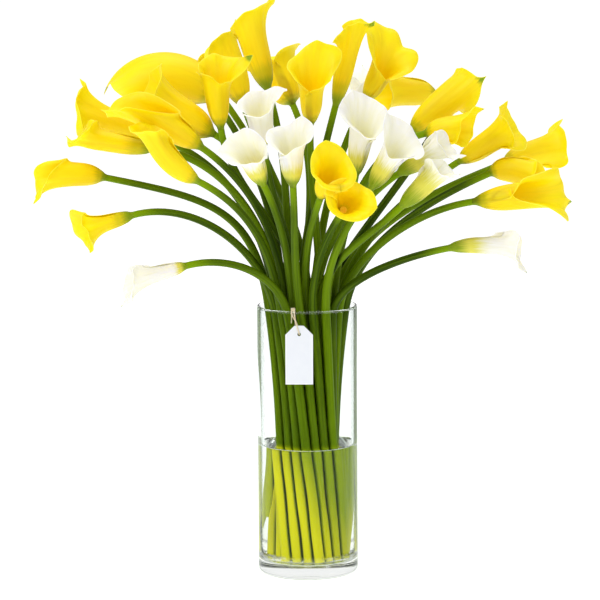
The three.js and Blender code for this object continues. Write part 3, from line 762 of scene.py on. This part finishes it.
def between(stations, share):
    """A wall profile's radius, height and slope at a share of its steps."""
    place = min(max(share, 0.0), 1.0) * PROFILE_STEPS
    low = min(int(place), PROFILE_STEPS - 1)
    part = place - low
    return [a + (b - a) * part for a, b in zip(stations[low], stations[low + 1])]


def spathe(flower):
    """The rolled leaf's two faces, joined all round its edge, and the values its finish reads."""
    place = flower_frame(flower)
    chance = random.Random("spathe " + flower["name"])
    phases = [chance.uniform(0, 2 * math.pi) for k in range(4)]
    hand = flower["hand"]
    overlap = math.radians(flower["overlap"])
    columns = []
    for j in range(COLUMNS + 1):
        share = 2 * j / COLUMNS - 1
        across = math.copysign(abs(share) ** CROWDING, share)
        columns.append((across, *wall_profile(flower, across * math.pi)))
    rows = [k / ROWS for k in range(ROWS)] + [1 - 0.25 / ROWS, 1.0]
    tip_radius, tip_height, _ = columns[COLUMNS // 2][1][-1]
    tip_point = place(tip_height, tip_radius, 0.0)
    points, values = [], dict(along=[], inside=[], edge=[], tip=[], grain=[])
    for depth in (0.0, 1.0):
        for share in rows:
            opening = smooth(share, 0.05, 0.5)
            wall = SPATHE_WALL + (RIM_WALL - SPATHE_WALL) * share**1.5
            for across, stations, total in columns:
                margin = smooth(abs(across), 0.6, 1.0)
                last = max(0.0, (abs(across) - 0.8) / 0.2)
                outer = across * hand < 0
                radius, height, slope = between(stations, share)
                layer = (OUTER_LIFT if outer else -INNER_SINK) * margin * opening
                lift = EDGE_LIFT * last**2 * share if outer else 0.0
                wave = math.sin(2 * across * math.pi + phases[0])
                wave += 0.8 * math.sin(5 * across * math.pi + phases[1])
                wave += 0.4 * math.sin(9 * across * math.pi + phases[2])
                wave *= flower["wave"] * share**3
                uneven = UNEVEN * opening * math.sin(across * 9 + share * 5 + phases[2])
                off = layer + lift + wave + uneven - depth * wall * (1 - 0.35 * margin)
                if share < FOOT_SHARE:
                    radius *= FOOT_NARROW + (1 - FOOT_NARROW) * smooth(share, 0.0, FOOT_SHARE)
                past = math.copysign(overlap * margin**1.5, across) * (1.2 - 0.7 * share)
                angle = across * math.pi + past
                out = max(radius + off * math.cos(slope), 0.0005)
                spot = place(height - off * math.sin(slope), out, angle)
                points.append(spot)
                rim = min((1 - share) * total, (1 - abs(across)) * math.pi * radius + 0.0004)
                grain = (math.cos(angle) * 3, math.sin(angle) * 3 + phases[3], share * 1.4)
                up = share * total / flower["length"]
                found = (up, depth, rim * 1000, (spot - tip_point).length, grain)
                for key, value in zip(values, found):
                    values[key].append(value)
    wide = COLUMNS + 1
    tall = len(rows)
    inner = wide * tall
    faces = []
    for row in range(tall - 1):
        for j in range(COLUMNS):
            a = row * wide + j
            faces.append((a, a + 1, a + 1 + wide, a + wide))
            faces.append((inner + a, inner + a + wide, inner + a + 1 + wide, inner + a + 1))
        for a, turn in ((row * wide, 1), (row * wide + COLUMNS, -1)):
            faces.append((a, a + wide, inner + a + wide, inner + a)[::turn])
    top = (tall - 1) * wide
    for j in range(COLUMNS):
        faces.append((top + j, top + j + 1, inner + top + j + 1, inner + top + j))
        faces.append((j, inner + j, inner + j + 1, j + 1))
    return points, faces, values


def spathe_finish(name, outer, throat, base, rim, shadow):
    """Waxy leaf: fine long veins, clouds of painted shade, a green foot and point, a deeper throat with a
    faint painted glow, and a thin painted highlight along the rim.
    """
    made, wire = finish(name)
    along, inside, edge, foot, point = (wire.read(key) for key in SPATHE_VALUES)
    grain = wire.read("grain", "Vector")
    streaks = wire.noise(grain, 2.4, 5.0)
    veins = wire.noise(grain, 7.0, 3.0)
    clouds = wire.noise(grain, 0.6, 2.0)
    # Painted shade: the face goes towards the shadow colour in soft clouds and along the veins.
    face = (clouds.step(0.35, 0.7) * 0.55 + veins * 0.25).blend(outer, shadow)
    deep = (inside * (1 - along.step(0.25, 0.95))).blend(face, throat)
    stained = foot * (1 - 0.7 * inside)
    ends = (stained + streaks * 0.3 - 0.15).step(0.6, 1.0)
    olive = (stained + streaks * 0.6 - 0.3).step(0.0, 0.55)
    colour = olive.blend(deep, base)
    colour = ends.blend(colour, paint(122, 148, 0))
    green_point = (point + streaks * 0.5 - 0.25).step(0.35, 0.75)
    colour = green_point.blend(colour, paint(98, 136, 18))
    # Painted highlight: a light line along the rim and margins, away from the green foot.
    light = (1 - edge.step(0.2, 1.4)) * (1 - foot.step(0.1, 0.5)) * 0.8
    colour = light.blend(colour, rim)
    ridges = veins + streaks * 0.6
    relief = wire.bump(ridges, 0.5, 0.0004)
    skin = {"Base Color": colour, "Roughness": veins * 0.2 + 0.36, "Normal": relief}
    skin.update({"Subsurface Weight": 0.5, "Subsurface Scale": 0.005, "Specular IOR Level": 0.2})
    skin["Subsurface Radius"] = (1.0, 0.95, 0.4)
    # Painted glow: the lower inside of the spathe gives off a little light of its own, standing in for
    # light that comes through the walls.
    painted_throat_glow = inside * (1 - along.step(0.1, 0.9))
    skin["Emission Color"] = painted_throat_glow.blend((0.0, 0.0, 0.0, 1.0), throat)
    skin["Emission Strength"] = 0.08
    wire.surface(skin)
    return made


def spadix_finish():
    """Crowded tiny flowers, which show as round grains, with a faint painted glow that lightens it in the
    dark throat.
    """
    made, wire = finish("spadix")
    spot = wire.spot()
    grains = wire.node("TexVoronoi", {}, {"Vector": spot, "Scale": 900.0}, output="Distance")
    colour = grains.blend(paint(255, 222, 60), paint(244, 190, 6))
    relief = wire.bump(grains, 0.8, 0.0008, invert=True)
    skin = {"Base Color": colour, "Roughness": grains * 0.3 + 0.5, "Normal": relief}
    # Painted glow: the spadix gives off a little light of its own in the throat.
    skin.update({"Emission Color": colour, "Emission Strength": 0.25})
    wire.surface(skin)
    return made


yellow_skin = spathe_finish(
    "yellow_spathe", outer=paint(255, 225, 3), throat=paint(253, 212, 0), base=paint(198, 188, 0),
    rim=paint(255, 238, 48), shadow=paint(248, 206, 0),
)
white_skin = spathe_finish(
    "white_spathe", outer=paint(248, 247, 236), throat=paint(246, 243, 206), base=paint(214, 208, 84),
    rim=paint(253, 253, 250), shadow=paint(240, 238, 214),
)
spadix_skin = spadix_finish()

SPADIX_RADIUS = 0.0034
SPADIX_FOOT = 0.004
SPADIX_STEPS = 14
SPADIX_SIDES = 14

for name, flower in flowers.items():
    yellow = name.startswith("yellow")
    points, faces, values = spathe(flower)
    green = flower["green"]
    values["foot"] = [1 - smooth(along, 0.1 * green, 1.9 * green) for along in values["along"]]
    sting = max(flower["sting"], 0.00001)
    values["point"] = [1 - smooth(away, 0.0, sting) for away in values.pop("tip")]
    leaf = piece(
        "spathe_" + name, points, faces, yellow_skin if yellow else white_skin,
        "yellow_bloom" if yellow else "white_bloom", values, crease=80,
    )
    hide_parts("bloom_" + name)
    place = flower_frame(flower)
    reach = flower["spadix"] * flower["length"]
    finger = []
    for k in range(SPADIX_STEPS + 1):
        share = k / SPADIX_STEPS
        thick = SPADIX_RADIUS * math.sqrt(max(0.0, 1 - share**5))
        thick *= 0.75 + 0.25 * smooth(share, 0, 0.25)
        middle = place(SPADIX_FOOT + share * (reach - SPADIX_FOOT), 0.0, 0.0)
        finger.append((middle, max(thick, 0.0002)))
    points, faces, _ = tube(finger, SPADIX_SIDES)
    piece("spadix_" + name, points, faces, spadix_skin, "yellow_bloom")

# The tag is a die-cut card with clipped upper corners and one hole. It is blank, and hangs flat
# against the glass, turned a little.

TAG_WIDTH = 0.027
TAG_HEIGHT = 0.058
TAG_THICK = 0.0007
TAG_SHOULDER = 0.009
TAG_NECK = 0.009
HOLE_RADIUS = 0.0017
HOLE_DROP = 0.0086
TAG_X = -0.008
TAG_TOP = 0.257
TAG_LEAN = math.radians(2.2)
TAG_TURN = math.radians(-2.2)
CARD_EDGE = 0.00012
TAG_OFF_GLASS = 0.003


def card_mesh():
    """The card's outline with its hole, given thickness and soft edges. It lies in X and Y."""
    half = TAG_WIDTH / 2
    corners = [(-half, -TAG_HEIGHT), (half, -TAG_HEIGHT), (half, -TAG_SHOULDER), (TAG_NECK / 2, 0)]
    corners += [(-TAG_NECK / 2, 0), (-half, -TAG_SHOULDER)]
    ring = [2 * math.pi * k / 32 for k in range(32)]
    hole = [(HOLE_RADIUS * math.cos(t), HOLE_RADIUS * math.sin(t) - HOLE_DROP) for t in ring]
    outline = bpy.data.curves.new("card_outline", "CURVE")
    outline.dimensions = "2D"
    outline.fill_mode = "BOTH"
    outline.extrude = TAG_THICK / 2 - CARD_EDGE
    outline.bevel_depth = CARD_EDGE
    outline.bevel_resolution = 2
    outline.offset = -CARD_EDGE
    for loop in (corners, hole):
        line = outline.splines.new("POLY")
        line.points.add(len(loop) - 1)
        line.points.foreach_set("co", [n for x, y in loop for n in (x, y, 0.0, 1.0)])
        line.use_cyclic_u = True
    flat = bpy.data.objects.new("card_outline", outline)
    mesh = bpy.data.meshes.new_from_object(flat)
    bpy.data.objects.remove(flat)
    bpy.data.curves.remove(outline)
    return mesh


def paper_finish():
    """White card with fine fibres and a painted highlight along its edges."""
    made, wire = finish("tag_card")
    spot = wire.read("card", "Vector")
    apart = wire.node("SeparateXYZ", {}, {"Vector": spot}, output="X")
    down = wire.node("SeparateXYZ", {}, {"Vector": spot}, output="Y")
    inward = wire.maths("ABSOLUTE", apart, 0.0)
    # Painted highlight: a light band along the card's sides and foot, where its edges would catch the
    # light.
    painted_edge_highlight = inward.step(0.0124, 0.0127) + (-0.0572 - down).step(-0.0003, 0.0003)
    fibres = wire.noise(spot, 900.0, 4.0)
    mottle = wire.noise(spot, 90.0, 3.0)
    face = mottle.blend(paint(218, 222, 230), paint(226, 229, 235))
    colour = painted_edge_highlight.blend(face, paint(240, 242, 246))
    relief = wire.bump(fibres, 0.25, 0.0002)
    skin = {"Base Color": colour, "Roughness": fibres * 0.2 + 0.6, "Normal": relief}
    wire.surface(skin)
    return made


card = card_mesh()
flat_points = [tuple(vertex.co) for vertex in card.vertices]
tag_y = -math.sqrt(VASE_RADIUS**2 - TAG_X**2) - TAG_OFF_GLASS
tag_place = Matrix.Translation((TAG_X, tag_y, TAG_TOP))
tag_place @= Matrix.Rotation(TAG_TURN, 4, "Z") @ Matrix.Rotation(math.pi / 2 - TAG_LEAN, 4, "X")
lifted = [tag_place @ Vector((x, y, z + TAG_THICK / 2)) for x, y, z in flat_points]
card_faces = [tuple(face.vertices) for face in card.polygons]
bpy.data.meshes.remove(card)
card_values = dict(card=flat_points)
tag = piece("gift_tag", lifted, card_faces, paper_finish(), "paper", card_values, crease=50)
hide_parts("tag")

# The twine is cotton, laid from two plies. It is tied at the rim, goes down through the tag's hole
# and comes back over the rim, so that both of its ends hang inside the glass.

outside = VASE_RADIUS + 0.001
inside = BORE - 0.0014
over = VASE_HEIGHT + 0.0028
hole_z = TAG_TOP - HOLE_DROP
TWINE_ROUTE = [
    (-0.0115, inside, 0.256), (-0.0122, inside - 0.0006, 0.2665),
    (-0.0126, (outside + inside) / 2, over), (-0.0126, outside + 0.0004, 0.267),
    (-0.0112, outside + 0.0026, 0.260), (-0.009, outside + 0.0041, 0.2525),
    (-0.008, outside + 0.0036, hole_z + 0.0006), (-0.0079, outside + 0.0015, hole_z + 0.0002),
    (-0.0084, outside + 0.0003, 0.2515), (-0.0104, outside, 0.259), (-0.0146, outside + 0.0004, 0.2665),
    (-0.0152, (outside + inside) / 2, over), (-0.0152, inside - 0.0006, 0.2665), (-0.0156, inside, 0.258),
]
STEPS_BETWEEN = 6
PLY_RADIUS = 0.00042
PLY_OUT = 0.00028
PLY_LAY = 0.0034  # the way along the twine in which a ply goes round once
PLY_TURN = 2 * math.pi / PLY_LAY
PLY_SIDES = 8
FINE_STEPS = 3
KNOT_STEPS = 60
KNOT_SIZE = (0.0006, 0.0006, 0.0005)


def through(stops, steps):
    """A smooth line through some points, with a few steps between each two."""
    line = []
    for k in range(len(stops) - 1):
        a, b = stops[max(k - 1, 0)], stops[k]
        c, d = stops[k + 1], stops[min(k + 2, len(stops) - 1)]
        for j in range(steps):
            t = j / steps
            curve = b * 2 + (c - a) * t + (a * 2 - b * 5 + c * 4 - d) * t**2
            line.append((curve + (b * 3 - a - c * 3 + d) * t**3) / 2)
    return line + [stops[-1]]


def plied(line):
    """Two plies wound round a line, as one skin."""
    points, faces = [], []
    for start in (0.0, math.pi):
        ply = []
        along = 0.0
        side = (line[1] - line[0]).orthogonal().normalized()
        for k, middle in enumerate(line):
            before, after = line[max(k - 1, 0)], line[min(k + 1, len(line) - 1)]
            along += (middle - before).length
            heading = (after - before).normalized()
            side = (side - heading * side.dot(heading)).normalized()
            turn = start + along * PLY_TURN
            out = side * math.cos(turn) + heading.cross(side) * math.sin(turn)
            ply.append((middle + out * PLY_OUT, PLY_RADIUS))
        skin, quads, _ = tube(ply, PLY_SIDES, len(points))
        points += skin
        faces += quads
    return points, faces


def twine_finish():
    """Undyed cotton, pale and fluffy, with browner places."""
    made, wire = finish("cotton_twine")
    spot = wire.spot()
    fluff = wire.noise(spot, 1800.0, 3.0)
    stain = wire.noise(spot, 260.0, 2.0)
    brown = fluff * 0.6 + stain.step(0.4, 0.7) * 0.4
    colour = brown.blend(paint(240, 232, 208), paint(190, 166, 118))
    relief = wire.bump(fluff, 0.7, 0.0003)
    skin = {"Base Color": colour, "Roughness": fluff * 0.1 + 0.8, "Normal": relief}
    wire.surface(skin)
    return made


route = [Vector((x, -math.sqrt(r * r - x * x), z)) for x, r, z in TWINE_ROUTE]
line = through(route, STEPS_BETWEEN)
twine_skin = twine_finish()
twine = piece("tag_cord", *plied(through(line, FINE_STEPS)), twine_skin, "twine", crease=80)
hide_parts("tag_twine")
knot_middle = (route[2] + route[11]) / 2 + Vector((0, -0.0008, -0.0006))
knot_line = []
for k in range(KNOT_STEPS + 1):
    turn = 2 * math.pi * k / KNOT_STEPS
    sideways = math.sin(turn) + 2 * math.sin(2 * turn)
    upward = math.cos(turn) - 2 * math.cos(2 * turn)
    loop = Vector((sideways, -math.sin(3 * turn), upward))
    knot_line.append(knot_middle + loop * Vector(KNOT_SIZE))
knot = piece("tag_cord_knot", *plied(knot_line), twine_skin, "twine", crease=80)
twine_length = sum((b - a).length for a, b in zip(line, line[1:]))

# The bouquet stands on a white table that runs far back, under soft studio light from the left and
# above. Glass mirrors the table darker and shows the sky brighter, as a studio's dark and light cards
# would. The camera looks a little down on the flowers.

FLOOR_RADIUS = 30.0
FLOOR_SIDES = 96
FLOOR_DROP = 0.0002  # under the vase's foot
FLOOR_GLOW = 0.6
MOST_PASSED = 4.5  # surfaces of glass, past which the mirrored table stays white
floor_finish, wire = finish("white_table")
spot = wire.spot()
dust = wire.noise(spot, 14.0, 3.0)
mirrored = wire.ray("Glossy Depth")
passed = wire.ray("Transmission Depth")
few = wire.maths("LESS_THAN", passed, MOST_PASSED)
straight = 1 - wire.maths("GREATER_THAN", mirrored, 0.5) * few
paper = dust.blend((0.9, 0.9, 0.9, 1.0), (0.93, 0.93, 0.93, 1.0))
top = {"Base Color": straight.blend((0.7, 0.75, 0.73, 1.0), paper), "Roughness": dust * 0.1 + 0.6}
top["Emission Color"] = straight.blend((0.68, 0.73, 0.71, 1.0), (1.0, 1.0, 1.0, 1.0))
top["Emission Strength"] = FLOOR_GLOW
wire.surface(top)
ring = [2 * math.pi * k / FLOOR_SIDES for k in range(FLOOR_SIDES)]
table_mesh = bpy.data.meshes.new("white_table")
edge = [(FLOOR_RADIUS * math.cos(t), FLOOR_RADIUS * math.sin(t), -FLOOR_DROP) for t in ring]
table_mesh.from_pydata(edge, [], [tuple(range(FLOOR_SIDES))])
table_mesh.materials.append(floor_finish)
table = placed("white_table", table_mesh)


def soft_light(name, place, aimed_at, width, height, power):
    """A large square lamp with a diffuser, aimed at a point."""
    lamp = bpy.data.lights.new(name, "AREA")
    lamp.shape = "RECTANGLE"
    lamp.size = width
    lamp.size_y = height
    lamp.energy = power
    holder = placed(name, lamp)
    holder.location = place
    holder.rotation_euler = (Vector(aimed_at) - Vector(place)).to_track_quat("-Z", "Y").to_euler()


soft_light("key_light", (-1.3, -1.3, 2.2), (0, 0, 0.35), 1.2, 1.2, 30)
soft_light("fill_light", (1.9, -1.5, 1.0), (0, 0, 0.3), 1.2, 1.6, 7)
soft_light("top_light", (0.1, 0.5, 2.2), (0, 0, 0.3), 1.6, 1.2, 14)

SKY_LIGHT = 0.5
SKY_GLARE = 0.45  # added where the sky is seen through glass
sky = bpy.data.worlds.new("studio")
sky.use_nodes = True
background = sky.node_tree.nodes["Background"]
background.inputs["Color"].default_value = (1.0, 1.0, 1.0, 1.0)
through_glass = Wire(sky.node_tree).ray("Is Transmission Ray")
strength = through_glass * SKY_GLARE + SKY_LIGHT
sky.node_tree.links.new(strength.socket, background.inputs["Strength"])
bpy.context.scene.world = sky
bpy.context.scene.view_settings.view_transform = "Standard"

PHOTO_SIDE = 600
FOCAL_PIXELS = 3015
CAMERA_PITCH = math.radians(8.515)
CAMERA_ROLL = math.radians(-0.3)
lens = bpy.data.cameras.new("photo_camera")
lens.sensor_width = 36.0
lens.lens = FOCAL_PIXELS / PHOTO_SIDE * lens.sensor_width
lens.clip_end = 100.0
camera = placed("photo_camera", lens)
camera.location = (-0.007, -2.966, 0.7186)
tilt = Matrix.Rotation(math.pi / 2 - CAMERA_PITCH, 3, "X") @ Matrix.Rotation(CAMERA_ROLL, 3, "Z")
camera.rotation_euler = tilt.to_euler()
bpy.context.scene.camera = camera
